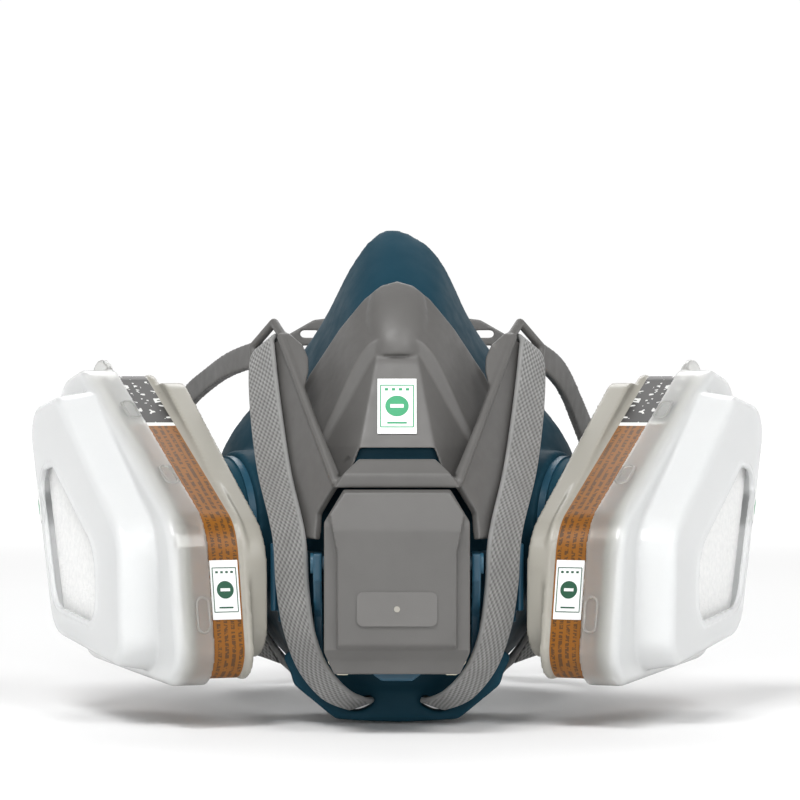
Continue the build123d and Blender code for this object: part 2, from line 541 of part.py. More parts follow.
# The back of the cradle is a curved sheet, cut to an arch with a window in it.
BACK_DEPTH, BACK_RADIUS = 104.0, 70.1
BACK_OUTLINE = [(0, 45), (25, 41.5), (36, 35), (41, 27), (43, 18), (46, 5), (51, -9), (51, -21), (0, -21)]
BACK_WINDOW = [(0, 33), (19, 30.5), (27, 26), (31, 18), (34, 5), (38, -9.5), (0, -9.5)]
BAND_THICKNESS = 2.0
RIBBON_STATIONS = 22
SLOT_LENGTH, SLOT_HEIGHT = 6.0, 2.2
SLOT_COLUMNS = [-26, -13, 0, 13, 26]
SLOT_ROWS = (41.0, 36.4)
SLOT_FALL = 0.0055     # the rows of slots follow the arch of the band


def head_cradle():
    """One moulding: a ribbon from each loop to a curved back with a crown arch and two rows of slots."""
    outer, inner = BACK_RADIUS + BAND_THICKNESS / 2, BACK_RADIUS - BAND_THICKNESS / 2
    back = Pos(0, BACK_DEPTH - BACK_RADIUS, 0) * (Cylinder(outer, 140) - Cylinder(inner, 150))
    rear = front_plane(BACK_DEPTH + 10)
    back &= prism(rear, mirrored(BACK_OUTLINE), 60)
    back -= prism(rear, mirrored(BACK_WINDOW), 60)
    for z in SLOT_ROWS:
        for x in SLOT_COLUMNS:
            slot = extrude(SlotOverall(SLOT_LENGTH, SLOT_HEIGHT), amount=20, both=True)
            back -= Pos(x, BACK_DEPTH - 8, z - SLOT_FALL * x * x) * Rot(90, 0, 0) * slot
    for ribbon in (RIBBON_LEFT, RIBBON_RIGHT):
        back += strip(smoothed(ribbon, RIBBON_STATIONS), BAND_THICKNESS)
    return back

# The neck webbing's lower edge; it stands up from there, leaning out by LEAN at the facepiece.
NECK_LOW = [(36.6, 4.0, -52.0), (43.4, 22.0, -51.8), (47.0, 42.0, -51.8), (49.5, 62.0, -52.0),
            (46.8, 72.0, -52.0), (42.4, 78.0, -52.0), (26.4, 94.0, -52.0), (22.0, 98.4, -52.0),
            (12.0, 103.0, -52.0), (8.4, 103.6, -52.0)]
NECK_LEAN = [8.0, 4.0, 0.6]
BUCKLE_FROM, BUCKLE_TO = 5, 6     # the adjuster runs on the straight between these two points

def neck_webbing():
    stations = []
    for i, (x, y, z) in enumerate(NECK_LOW):
        lean = NECK_LEAN[i] if i < len(NECK_LEAN) else 0.0
        stations.append(((x, y, z), (x + lean, y, z + math.sqrt(WEB_WIDTH ** 2 - lean ** 2))))
    return strip(stations, WEB)

def neck_adjuster():
    """A buckle that the webbing passes through, with a bar in front of it and one behind it."""
    start, end = Vector(*NECK_LOW[BUCKLE_FROM]), Vector(*NECK_LOW[BUCKLE_TO])
    middle = (start + end) / 2 + Vector(0, 0, WEB_WIDTH / 2)
    place = Plane(origin=middle, x_dir=(end - start).normalized(), z_dir=(0, 0, 1))
    frame = Box(13.0, 5.6, WEB_WIDTH + 5.0) - Box(20.0, WEB + 1.0, WEB_WIDTH + 1.2)
    return place * frame

CLASP_Y, CLASP_Z, CLASP_HALF = 104.6, -44.0, 16.0

def clasp_part(centre, width):
    return Pos(centre, CLASP_Y, CLASP_Z) * Box(width, 4.6, 20.0)

def clasp_hook():
    """The wearer's left half of the clasp: a socket for the webbing and a flat tongue."""
    body = clasp_part(CLASP_HALF - 7.0, 14.0) - Pos(CLASP_HALF - 4.5, 103.4, CLASP_Z) * Box(10, 2.6, 17)
    return body + Pos(-1.0, CLASP_Y + 0.6, CLASP_Z) * Box(8.0, 1.6, 11.0)

def clasp_eye():
    """The other half, with the slot that the tongue goes into."""
    body = clasp_part(7.0 - CLASP_HALF, 14.0) - Pos(4.5 - CLASP_HALF, 103.4, CLASP_Z) * Box(10, 2.6, 17)
    return body - Pos(-3.0, CLASP_Y + 0.6, CLASP_Z) * Box(7.0, 1.9, 11.6)

# ---------------------------------------------------------------- the whole respirator
os.makedirs("parts", exist_ok=True)
silicone = facepiece_filled()
save("facepiece_seal", facepiece_seal(silicone))
save("front_shell", front_shell(silicone))
save("badge", badge())
save("exhalation_valve_seat", exhalation_valve_seat())
save("exhalation_valve", exhalation_valve())
save("exhalation_housing", exhalation_housing())
save_pair("port_connector", port_connector())
save_pair("port_gasket", port_gasket())
save_pair("inhalation_valve", inhalation_valve())
save_pair("cartridge_case", cartridge_case())
save_pair("outlet_screen", outlet_screen())
save_pair("carbon_bed", carbon_bed())
save_pair("inlet_grille", inlet_grille())
save_pair("label_band", label_band())
save_pair("band_sticker", band_sticker())
save_pair("particulate_filter", particulate_filter())
save_pair("filter_retainer", retainer())
save_pair("retainer_sticker", retainer_sticker())
save_pair("latch_bracket", latch_bracket())
save_pair("pivot_pin", pivot_pin())
save("latch_cover", latch_cover())
save("latch_catch", latch_catch())
save("yoke", yoke())
save_pair("front_webbing", front_webbing())
save_pair("loop_webbing", loop_webbing())
save("head_cradle", head_cradle())
save_pair("neck_webbing", neck_webbing())
save_pair("neck_adjuster", neck_adjuster())
save("clasp_hook", clasp_hook())
save("clasp_eye", clasp_eye())
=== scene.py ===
import json
import math

import bmesh
import bpy
import numpy as np
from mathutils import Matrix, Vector
from mathutils.bvhtree import BVHTree


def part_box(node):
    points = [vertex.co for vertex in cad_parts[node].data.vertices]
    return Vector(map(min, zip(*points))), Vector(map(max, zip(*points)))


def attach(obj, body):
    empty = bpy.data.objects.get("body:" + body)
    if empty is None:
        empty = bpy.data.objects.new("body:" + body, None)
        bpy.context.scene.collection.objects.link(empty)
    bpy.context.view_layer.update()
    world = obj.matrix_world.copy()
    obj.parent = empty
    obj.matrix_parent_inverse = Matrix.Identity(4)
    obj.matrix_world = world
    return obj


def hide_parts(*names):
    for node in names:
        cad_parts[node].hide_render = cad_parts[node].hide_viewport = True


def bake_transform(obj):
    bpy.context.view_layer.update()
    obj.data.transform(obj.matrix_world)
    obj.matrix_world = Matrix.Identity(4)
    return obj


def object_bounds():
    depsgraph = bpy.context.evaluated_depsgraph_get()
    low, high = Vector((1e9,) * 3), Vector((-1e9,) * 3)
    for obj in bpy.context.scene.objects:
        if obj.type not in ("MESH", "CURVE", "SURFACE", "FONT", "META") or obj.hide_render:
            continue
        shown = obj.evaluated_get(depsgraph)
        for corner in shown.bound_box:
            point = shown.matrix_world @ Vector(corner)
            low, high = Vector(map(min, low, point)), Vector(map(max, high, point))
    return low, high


# A half-mask respirator. Metres; MM turns the millimetre values below into metres.
# +Z is up, -Y is the front, +X is the wearer's left, as in the CAD frame.

MM = 0.001
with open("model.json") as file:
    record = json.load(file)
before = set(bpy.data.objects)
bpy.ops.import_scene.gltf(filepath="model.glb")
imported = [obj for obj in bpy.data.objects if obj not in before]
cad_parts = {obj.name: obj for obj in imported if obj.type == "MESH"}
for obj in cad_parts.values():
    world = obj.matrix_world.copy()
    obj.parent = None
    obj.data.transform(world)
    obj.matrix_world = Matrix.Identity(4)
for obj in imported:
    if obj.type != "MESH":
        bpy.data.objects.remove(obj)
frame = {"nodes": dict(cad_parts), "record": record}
CAD_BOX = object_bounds()
RECORD = frame["record"]
BODY_OF = {node: body for body, nodes in RECORD["behaviour"]["bodies"].items() for node in nodes}
SLOT_OF = {part["node"]: part["material_slot"] for part in RECORD["subparts"]}
JOINTS = {joint["name"]: joint for joint in RECORD["behaviour"]["joints"]}
SIDES = {"left": 1, "right": -1}
scene = bpy.context.scene


# ---------------------------------------------------------------- camera, stage and light
CAMERA_DISTANCE = 0.9
CAMERA_HEIGHT = 0.0175
LENS, SENSOR = 150.0, 36.0
CAMERA_SHIFT = 0.00375
FLOOR_GAP = 0.4 * MM
FLOOR_SPOKES, FLOOR_RINGS = 64, (7.0, 14.0)
FLOOR_PLAIN_TO, FLOOR_WHITE_FROM = 0.25, 1.2     # the floor glows more and more between these distances
SKY_WHITE, SKY_DARK = 1.02, 0.18
SKY_WHITE_TO, SKY_DARK_FROM = 0.20, 0.55     # height on the sky's dome, from 0 at the horizon to 1 overhead
# Name, place, the point it is aimed at, size and power.
LIGHTS = [
    ("key", (-0.30, -0.60, 0.95), (0, 0, 0.01), (0.5, 0.4), 8.5),
    ("fill", (0.45, -0.70, 0.75), (0, 0, 0.0), (0.4, 0.5), 4.5),
    ("front", (0.0, -1.3, 0.30), (0, 0, 0), (0.5, 0.3), 2.2),
    ("back", (0.0, 0.70, 0.60), (0, 0.04, 0), (0.7, 0.4), 3.0),
]


def link(obj):
    scene.collection.objects.link(obj)
    return obj


def mesh_piece(name, spots, faces, smooth=False):
    """A new object from points in metres and the faces between them."""
    mesh = bpy.data.meshes.new(name)
    mesh.from_pydata([tuple(spot) for spot in spots], [], faces)
    if smooth:
        mesh.polygons.foreach_set("use_smooth", [True] * len(mesh.polygons))
    return link(bpy.data.objects.new(name, mesh))


def add_camera():
    data = bpy.data.cameras.new("camera")
    data.lens = LENS
    data.sensor_width = SENSOR
    data.shift_x = CAMERA_SHIFT
    data.clip_start = 0.05
    camera = link(bpy.data.objects.new("camera", data))
    camera.location = (0, -CAMERA_DISTANCE, CAMERA_HEIGHT)
    camera.rotation_euler = (math.pi / 2, 0, 0)
    scene.camera = camera


def area_light(name, place, aim, size, power):
    data = bpy.data.lights.new(name, "AREA")
    data.shape = "RECTANGLE"
    data.size, data.size_y = size
    data.energy = power
    light = link(bpy.data.objects.new(name, data))
    light.location = place
    light.rotation_euler = (Vector(aim) - Vector(place)).to_track_quat("-Z", "Y").to_euler()


def add_floor():
    """A round white floor, wide enough that its edge meets the white world at the horizon."""
    floor_z = CAD_BOX[0][2] - FLOOR_GAP
    spots = [(0.0, 0.0, floor_z)]
    for i in range(FLOOR_SPOKES):
        turn = 2 * math.pi * i / FLOOR_SPOKES
        spots += [(r * math.cos(turn), r * math.sin(turn), floor_z) for r in FLOOR_RINGS]
    faces = []
    rings = len(FLOOR_RINGS)
    for i in range(FLOOR_SPOKES):
        a, b = 1 + rings * i, 1 + rings * ((i + 1) % FLOOR_SPOKES)
        faces += [(0, a, b), (a, a + 1, b + 1, b)]
    floor = mesh_piece("floor", spots, faces)
    paint = material("floor_paint", (0.90, 0.90, 0.90), 0.7, Emission_Color=(1, 1, 1, 1))
    distance = paint.vector("LENGTH", paint.place())
    glow = paint.map(distance, FLOOR_PLAIN_TO, FLOOR_WHITE_FROM, 0.0, SKY_WHITE)
    paint.links.new(glow, paint.shader.inputs["Emission Strength"])
    paint.tint(paint.ramp(distance, FLOOR_PLAIN_TO, FLOOR_WHITE_FROM), (0.0, 0.0, 0.0))
    floor.data.materials.append(paint.mat)


def add_stage():
    add_floor()
    world = bpy.data.worlds.new("studio")
    scene.world = world
    world.use_nodes = True
    nodes, links = world.node_tree.nodes, world.node_tree.links
    background = nodes["Background"]
    # The sky is white at the horizon and behind, and darker overhead, so that forms show.
    split = nodes.new("ShaderNodeSeparateXYZ")
    links.new(nodes.new("ShaderNodeTexCoord").outputs["Generated"], split.inputs["Vector"])
    fade = nodes.new("ShaderNodeMapRange")
    for socket, value in (("From Min", SKY_WHITE_TO), ("From Max", SKY_DARK_FROM),
                          ("To Min", SKY_WHITE), ("To Max", SKY_DARK)):
        fade.inputs[socket].default_value = value
    links.new(split.outputs["Z"], fade.inputs["Value"])
    links.new(fade.outputs["Result"], background.inputs["Strength"])
    background.inputs["Color"].default_value = (1.0, 1.0, 1.0, 1.0)
    for light in LIGHTS:
        area_light(*light)
    scene.view_settings.view_transform = "Standard"


# ---------------------------------------------------------------- materials
NOISE_LOW, NOISE_HIGH = 0.3, 0.7             # nearly all of a noise's values lie between these
CONVEX_FROM, CONVEX_TO = 0.52, 0.62          # pointiness, which is 0.5 on a flat face


class Paint:
    """A Principled material, with short ways to add the nodes that give it its detail."""

    def __init__(self, name, color, roughness, sockets):
        self.mat = bpy.data.materials.new(name)
        self.mat.use_nodes = True
        self.nodes = self.mat.node_tree.nodes
        self.links = self.mat.node_tree.links
        self.shader = self.nodes["Principled BSDF"]
        self.color = color
        self.shader.inputs["Base Color"].default_value = (*color, 1.0)
        self.shader.inputs["Roughness"].default_value = roughness
        for socket, value in sockets.items():
            self.shader.inputs[socket].default_value = value
        self.height = None
        self.base = None

    def place(self):
        """The point's place on the piece, in metres."""
        return self.nodes.new("ShaderNodeTexCoord").outputs["Object"]

    def noise(self, size, detail=3.0, stretch=None):
        """Noise whose features are about size metres across."""
        texture = self.nodes.new("ShaderNodeTexNoise")
        texture.inputs["Scale"].default_value = 1.0 / size
        texture.inputs["Detail"].default_value = detail
        spot = self.place()
        if stretch:
            mapping = self.nodes.new("ShaderNodeMapping")
            mapping.inputs["Scale"].default_value = stretch
            self.links.new(spot, mapping.inputs["Vector"])
            spot = mapping.outputs["Vector"]
        self.links.new(spot, texture.inputs["Vector"])
        return texture.outputs["Fac"]

    def map(self, source, low, high, to_low, to_high):
        """Stretches a value between low and high to the range from to_low to to_high, and clamps it."""
        node = self.nodes.new("ShaderNodeMapRange")
        node.inputs["From Min"].default_value = low
        node.inputs["From Max"].default_value = high
        node.inputs["To Min"].default_value = to_low
        node.inputs["To Max"].default_value = to_high
        self.links.new(source, node.inputs["Value"])
        return node.outputs["Result"]

    def ramp(self, source, low, high):
        """Stretches a value between low and high to 0..1."""
        return self.map(source, low, high, 0.0, 1.0)

    def vector(self, operation, source):
        """The plain value that a vector operation gives."""
        node = self.nodes.new("ShaderNodeVectorMath")
        node.operation = operation
        self.links.new(source, node.inputs[0])
        return node.outputs["Value"]

    def math(self, operation, *values):
        """A math node on sockets or plain numbers."""
        node = self.nodes.new("ShaderNodeMath")
        node.operation = operation
        for slot, value in zip(node.inputs, values):
            if isinstance(value, (int, float)):
                slot.default_value = value
            else:
                self.links.new(value, slot)
        return node.outputs["Value"]

    def tint(self, factor, color, amount=1.0):
        """Mixes a colour over the base by a 0..1 factor."""
        mix = self.nodes.new("ShaderNodeMix")
        mix.data_type = "RGBA"
        self.links.new(self.math("MULTIPLY", factor, amount), mix.inputs["Factor"])
        if self.base is None:
            mix.inputs["A"].default_value = (*self.color, 1.0)
        else:
            self.links.new(self.base, mix.inputs["A"])
        mix.inputs["B"].default_value = (*color, 1.0)
        self.base = mix.outputs["Result"]
        self.links.new(self.base, self.shader.inputs["Base Color"])
        return self

    def rough(self, factor, low, high):
        """Takes the roughness from a noise, between low and high."""
        self.links.new(self.map(factor, NOISE_LOW, NOISE_HIGH, low, high), self.shader.inputs["Roughness"])
        return self

    def bump(self, factor, depth, strength=1.0):
        """A bump of about depth metres. Several are chained."""
        node = self.nodes.new("ShaderNodeBump")
        node.inputs["Distance"].default_value = depth
        node.inputs["Strength"].default_value = strength
        self.links.new(factor, node.inputs["Height"])
        if self.height is not None:
            self.links.new(self.height, node.inputs["Normal"])
        self.height = node.outputs["Normal"]
        self.links.new(self.height, self.shader.inputs["Normal"])
        return self

    def along(self, axis):
        """The point's place along one axis, "X", "Y" or "Z"."""
        split = self.nodes.new("ShaderNodeSeparateXYZ")
        self.links.new(self.place(), split.inputs["Vector"])
        return split.outputs[axis]

    def edges(self):
        """Where the surface is convex, from 0 to 1."""
        geometry = self.nodes.new("ShaderNodeNewGeometry")
        return self.ramp(geometry.outputs["Pointiness"], CONVEX_FROM, CONVEX_TO)

    def attribute(self, name):
        node = self.nodes.new("ShaderNodeAttribute")
        node.attribute_name = name
        return node.outputs["Fac"]


def material(name, color, roughness, **sockets):
    return Paint(name, color, roughness, {key.replace("_", " "): value for key, value in sockets.items()})


def moulded_plastic(name, color, roughness, light, **sockets):
    """Spark-eroded texture, a slight cloudiness, and convex edges painted paler as a painted highlight."""
    paint = material(name, color, roughness, **sockets)
    paint.tint(paint.ramp(paint.noise(14 * MM), 0.3, 0.75), light, 0.25)
    # painted highlight: convex edges are tinted toward the paler colour
    paint.tint(paint.edges(), light, 0.8)
    paint.rough(paint.noise(3 * MM), roughness - 0.05, roughness + 0.07)
    paint.bump(paint.noise(0.35 * MM, 4.0), 0.02 * MM, 0.8)
    return paint.mat


def silicone():
    color = (0.009, 0.040, 0.062)
    paint = material("silicone", color, 0.55, Specular_IOR_Level=0.07)
    paint.tint(paint.ramp(paint.noise(18 * MM), 0.35, 0.75), (0.013, 0.052, 0.078), 0.6)
    # painted highlight: convex edges are tinted a paler teal
    paint.tint(paint.edges(), (0.02, 0.075, 0.11), 0.5)
    paint.rough(paint.noise(5 * MM), 0.44, 0.58)
    paint.bump(paint.noise(0.5 * MM, 4.0), 0.02 * MM, 0.6)
    return paint.mat


def woven():
    """The weave itself is in the mesh; its colour is painted pale on the raised threads and dark in the gaps
    between them, a painted highlight and painted shade, with a fine fibre grain.
    """
    paint = material("webbing", (0.105, 0.105, 0.103), 0.75, Sheen_Weight=0.2, Sheen_Roughness=0.4)
    # painted highlight and painted shade: pale where the weave stands high, dark in its gaps
    paint.tint(paint.attribute("thread"), (0.33, 0.33, 0.322), 1.0)
    paint.tint(paint.ramp(paint.noise(6 * MM), 0.35, 0.7), (0.11, 0.11, 0.108), 0.25)
    paint.bump(paint.noise(0.14 * MM, 2.0), 0.03 * MM, 0.8)
    return paint.mat


def case_plastic():
    paint = material("case_plastic", (0.33, 0.315, 0.275), 0.33, Specular_IOR_Level=0.45, Coat_Weight=0.1,
                     Coat_Roughness=0.25)
    paint.tint(paint.ramp(paint.noise(22 * MM), 0.35, 0.7), (0.38, 0.365, 0.32), 0.5)
    paint.rough(paint.noise(4 * MM), 0.28, 0.38)
    paint.bump(paint.noise(0.8 * MM, 3.0), 0.01 * MM, 0.6)
    return paint.mat


SKIRT_MILKY_TO, SKIRT_CLEAR_FROM = 26.5 * MM, 22.0 * MM     # distances out along the port's axis
PLATEAU_CLEARNESS, SKIRT_CLEARNESS = 0.42, 0.86


def outwards(paint):
    """The distance out from a cartridge's inner face, on either side of the mask."""
    joint = JOINTS["cartridge_left_twist"]
    x = paint.math("SUBTRACT", paint.math("ABSOLUTE", paint.along("X")), joint["pos_m"][0])
    y = paint.math("SUBTRACT", paint.along("Y"), joint["pos_m"][1])
    return paint.math("ADD", paint.math("MULTIPLY", x, joint["axis"][0]),
                      paint.math("MULTIPLY", y, joint["axis"][1]))


def clear_plastic():
    """Milky polypropylene: the parts behind it show faintly, and more where it is drawn thin at the skirt."""
    paint = material("clear_plastic", (0.93, 0.94, 0.94), 0.32, IOR=1.2, Coat_Weight=0.6, Coat_Roughness=0.1,
                     Specular_IOR_Level=0.5)
    paint.tint(paint.ramp(paint.noise(16 * MM), 0.35, 0.7), (0.90, 0.915, 0.92), 0.5)
    skirt = paint.map(outwards(paint), SKIRT_MILKY_TO, SKIRT_CLEAR_FROM, 0.0, 1.0)
    paint.tint(skirt, (0.80, 0.80, 0.77), 0.8)
    clearness = paint.map(skirt, 0.0, 1.0, PLATEAU_CLEARNESS, SKIRT_CLEARNESS)
    paint.links.new(clearness, paint.shader.inputs["Transmission Weight"])
    paint.bump(paint.noise(6 * MM, 2.0), 0.02 * MM, 0.4)
    return paint.mat


def fleece():
    paint = material("filter_fleece", (0.88, 0.88, 0.87), 0.9, Sheen_Weight=0.4)
    paint.tint(paint.ramp(paint.noise(1.4 * MM, 6.0), 0.35, 0.7), (0.70, 0.71, 0.71), 0.5)
    paint.bump(paint.noise(1.0 * MM, 8.0, (1.0, 0.4, 1.6)), 0.25 * MM, 0.9)
    return paint.mat


LABEL_CHANGE = 11.0 * MM      # height at which the label goes from dark to brown
LABEL_RULE, LABEL_EDGE = 0.4 * MM, 0.05 * MM     # the white rule's half width there, and its edges' softness
PRINT_ROW_SHARE = 0.54        # the share of a row's pitch that its marks fill
MARK_DRIFT, MARK_ROW_STEP = 1.3, 9.7             # how the marks' noise changes across a row and between rows


def print_rows(paint, pitch, glyph, spread):
    """Rows of small illegible marks round a cartridge's band: 1 on a mark, 0 elsewhere."""
    row = paint.math("DIVIDE", outwards(paint), pitch)
    off_middle = paint.math("ABSOLUTE", paint.math("SUBTRACT", paint.math("FRACT", row), 0.5))
    inside = paint.math("LESS_THAN", off_middle, PRINT_ROW_SHARE / 2)
    spot = paint.nodes.new("ShaderNodeCombineXYZ")
    paint.links.new(paint.math("DIVIDE", paint.along("Z"), glyph), spot.inputs["X"])
    paint.links.new(paint.math("MULTIPLY", row, MARK_DRIFT), spot.inputs["Y"])
    paint.links.new(paint.math("MULTIPLY", paint.math("FLOOR", row), MARK_ROW_STEP), spot.inputs["Z"])
    marks = paint.nodes.new("ShaderNodeTexNoise")
    marks.inputs["Scale"].default_value = 1.0
    marks.inputs["Detail"].default_value = 1.0
    paint.links.new(spot.outputs["Vector"], marks.inputs["Vector"])
    drawn = paint.math("GREATER_THAN", marks.outputs["Fac"], spread)
    return paint.math("MULTIPLY", inside, drawn)


def label_film():
    """A printed film: brown below, a white rule, dark grey above, and rows of print marks on both."""
    paint = material("label_film", (0.23, 0.082, 0.006), 0.4, Specular_IOR_Level=0.3, Coat_Weight=0.06,
                     Coat_Roughness=0.2)
    height = paint.along("Z")
    paint.tint(paint.ramp(paint.noise(9 * MM), 0.35, 0.7), (0.28, 0.11, 0.012), 0.4)
    paint.tint(print_rows(paint, 1.9 * MM, 0.42 * MM, 0.47), (0.06, 0.03, 0.012), 0.8)
    low, high = LABEL_CHANGE - LABEL_RULE, LABEL_CHANGE + LABEL_RULE
    paint.tint(paint.ramp(height, low - LABEL_EDGE, low), (0.85, 0.85, 0.83))
    above = paint.ramp(height, high, high + LABEL_EDGE)
    paint.tint(above, (0.038, 0.036, 0.035))
    marks = paint.math("MULTIPLY", above, print_rows(paint, 3.4 * MM, 0.8 * MM, 0.59))
    paint.tint(marks, (0.75, 0.75, 0.73), 0.9)
    paint.bump(paint.noise(6 * MM), 0.03 * MM, 0.4)
    return paint.mat


def carbon():
    paint = material("carbon", (0.02, 0.02, 0.02), 0.7)
    paint.tint(paint.ramp(paint.noise(1.0 * MM, 2.0), 0.4, 0.7), (0.05, 0.05, 0.05), 0.8)
    paint.bump(paint.noise(1.0 * MM, 2.0), 0.3 * MM)
    return paint.mat


def paper(name="paper", color=(0.88, 0.89, 0.88)):
    paint = material(name, color, 0.55, Coat_Weight=0.25, Coat_Roughness=0.3)
    paint.tint(paint.ramp(paint.noise(2 * MM), 0.35, 0.7), tuple(0.94 * c for c in color), 0.5)
    paint.bump(paint.noise(0.3 * MM, 3.0), 0.01 * MM, 0.5)
    return paint.mat


def build_materials():
    grey, grey_light = (0.098, 0.095, 0.091), (0.15, 0.146, 0.14)
    teal, teal_light = (0.012, 0.065, 0.11), (0.025, 0.11, 0.17)
    return {
        "silicone": silicone(),
        "shell_plastic": moulded_plastic("shell_plastic", grey, 0.46, grey_light, Specular_IOR_Level=0.5),
        "teal_plastic": moulded_plastic("teal_plastic", teal, 0.36, teal_light),
        "light_plastic": moulded_plastic("light_plastic", (0.70, 0.66, 0.52), 0.35, (0.78, 0.75, 0.62)),
        "cradle_plastic": moulded_plastic("cradle_plastic", (0.115, 0.113, 0.110), 0.5, (0.17, 0.167, 0.163)),
        "case_plastic": case_plastic(),
        "clear_plastic": clear_plastic(),
        "webbing": woven(),
        "filter_fleece": fleece(),
        "carbon": carbon(),
        "label_film": label_film(),
        "paper": paper(),
        "green_ink": paper("green_ink", (0.012, 0.30, 0.12)),
        "dark_green_ink": paper("dark_green_ink", (0.004, 0.075, 0.035)),
        "valve_rubber": moulded_plastic("valve_rubber", (0.62, 0.58, 0.47), 0.5, (0.7, 0.67, 0.56)),
    }


# ---------------------------------------------------------------- mesh helpers
def quads(here, there, count):
    """The faces between two rings of count points, given the rings' numbers."""
    near, far = here * count, there * count
    return [(near + j, near + (j + 1) % count, far + (j + 1) % count, far + j) for j in range(count)]


def closed_faces(rings, count):
    """The faces of a tube of rings with count points each, capped at both ends."""
    faces = [tuple(range(count))[::-1]]
    for i in range(rings - 1):
        faces += quads(i, i + 1, count)
    return faces + [tuple(range((rings - 1) * count, rings * count))]


def finish_piece(piece, node, slot=None):
    """Gives a piece the body of a CAD node, and that node's material and slot unless another is named."""
    name = slot or SLOT_OF[node]
    piece.data.materials.clear()
    piece.data.materials.append(MATERIALS[name])
    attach(piece, BODY_OF[node])
    return piece


def apply_modifiers(piece):
    """Puts the modified, smooth-shaded mesh in place of the piece's own."""
    bpy.context.view_layer.update()
    graph = bpy.context.evaluated_depsgraph_get()
    mesh = bpy.data.meshes.new_from_object(piece.evaluated_get(graph))
    old = piece.data
    piece.modifiers.clear()
    piece.data = mesh
    bpy.data.meshes.remove(old)
    mesh.polygons.foreach_set("use_smooth", [True] * len(mesh.polygons))


# Blocks that thicken the thin wall below the chin lip's slots, so that it survives the moulding's rounding.
THICKENED = {
    "facepiece_seal": [((9.0, -36.2, -65.4), (15.5, -29.3, -63.1)),
                       ((-15.5, -36.2, -65.4), (-9.0, -29.3, -63.1))],
}


def thicken(mesh, blocks):
    """Sets blocks of (lowest corner, highest corner), in millimetres, into the mesh."""
    edit = bmesh.new()
    edit.from_mesh(mesh)
    for low, high in blocks:
        low, high = Vector(low) * MM, Vector(high) * MM
        for vert in bmesh.ops.create_cube(edit, size=1.0)["verts"]:
            vert.co = (low + high) / 2 + vert.co * (high - low)
    edit.to_mesh(mesh)
    edit.free()


def moulded(node, voxel, rounds, keep):
    """A moulded piece in place of a CAD node: the same solid with its edges rounded off."""
    mesh = frame["nodes"][node].data.copy()
    thicken(mesh, THICKENED.get(node, ()))
    piece = link(bpy.data.objects.new(f"{node}_moulding", mesh))
    remesh = piece.modifiers.new("remesh", "REMESH")
    remesh.mode = "VOXEL"
    remesh.voxel_size = voxel * MM
    soft = piece.modifiers.new("soften", "SMOOTH")
    soft.factor = 0.5
    soft.iterations = rounds
    thin = piece.modifiers.new("thin", "DECIMATE")
    thin.ratio = keep
    apply_modifiers(piece)
    finish_piece(piece, node)
    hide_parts(node)


# node: voxel in millimetres, smoothing rounds, share of faces kept
MOULDED = {
    "facepiece_seal": (0.8, 10, 0.35),
    "front_shell": (0.45, 5, 0.25),
    "latch_cover": (0.4, 4, 0.25),
    "yoke": (0.4, 4, 0.25),
    "head_cradle": (0.4, 6, 0.3),
    "exhalation_housing": (0.45, 3, 0.25),
    "latch_catch": (0.3, 3, 0.3),
    "clasp_hook": (0.35, 3, 0.25),
    "clasp_eye": (0.35, 3, 0.25),
    "exhalation_valve_seat": (0.35, 2, 0.3),
}
MOULDED_PAIRS = {
    "cartridge_case": (0.5, 3, 0.25),
    "filter_retainer": (0.4, 6, 0.45),
    "particulate_filter": (0.8, 3, 0.4),
    "latch_bracket": (0.35, 3, 0.3),
    "neck_adjuster": (0.35, 3, 0.3),
}


def build_mouldings():
    for node, values in MOULDED.items():
        moulded(node, *values)
    for stem, values in MOULDED_PAIRS.items():
        for side in SIDES:
            moulded(f"{stem}_{side}", *values)


# ---------------------------------------------------------------- webbing
WEB_THICKNESS = 1.4
THREAD_PITCH = 1.05        # from one raised float to the next along its row
THREAD_ROW = 0.9           # from one row of floats to the next
THREAD_SLANT = 0.35
THREAD_DEPTH = 0.17
THREAD_MIDDLE, THREAD_SWING = 0.58, 0.75         # the wave that the floats and gaps are clipped from
WEAVE_STEP = 0.26          # mesh step that draws the weave
SELVEDGE = 0.5             # plain border of the webbing
SELVEDGE_FADE = 0.4
SELVEDGE_HEIGHT = 0.6
NECK_BEND_TO = 30.0        # the neck webbing bends ahead of this depth and is carried whole behind it


def spline_through(points, step):
    """Points about step apart on a smooth curve through the given ones (centripetal Catmull-Rom)."""
    path = np.array(points, float)
    path = np.vstack([2 * path[0] - path[1], path, 2 * path[-1] - path[-2]])
    out = []
    for p0, p1, p2, p3 in zip(path, path[1:], path[2:], path[3:]):
        t = [0.0]
        for a, b in ((p0, p1), (p1, p2), (p2, p3)):
            t.append(t[-1] + max(np.linalg.norm(b[:3] - a[:3]), 1e-6) ** 0.5)
        count = max(2, int(math.ceil(np.linalg.norm(p2[:3] - p1[:3]) / step)))
        for u in np.linspace(t[1], t[2], count, endpoint=False):
            a1 = (t[1] - u) / (t[1] - t[0]) * p0 + (u - t[0]) / (t[1] - t[0]) * p1
            a2 = (t[2] - u) / (t[2] - t[1]) * p1 + (u - t[1]) / (t[2] - t[1]) * p2
            a3 = (t[3] - u) / (t[3] - t[2]) * p2 + (u - t[2]) / (t[3] - t[2]) * p3
            b1 = (t[2] - u) / (t[2] - t[0]) * a1 + (u - t[0]) / (t[2] - t[0]) * a2
            b2 = (t[3] - u) / (t[3] - t[1]) * a2 + (u - t[1]) / (t[3] - t[1]) * a3
            out.append((t[2] - u) / (t[2] - t[1]) * b1 + (u - t[1]) / (t[2] - t[1]) * b2)
    out.append(path[-2])
    return np.array(out)


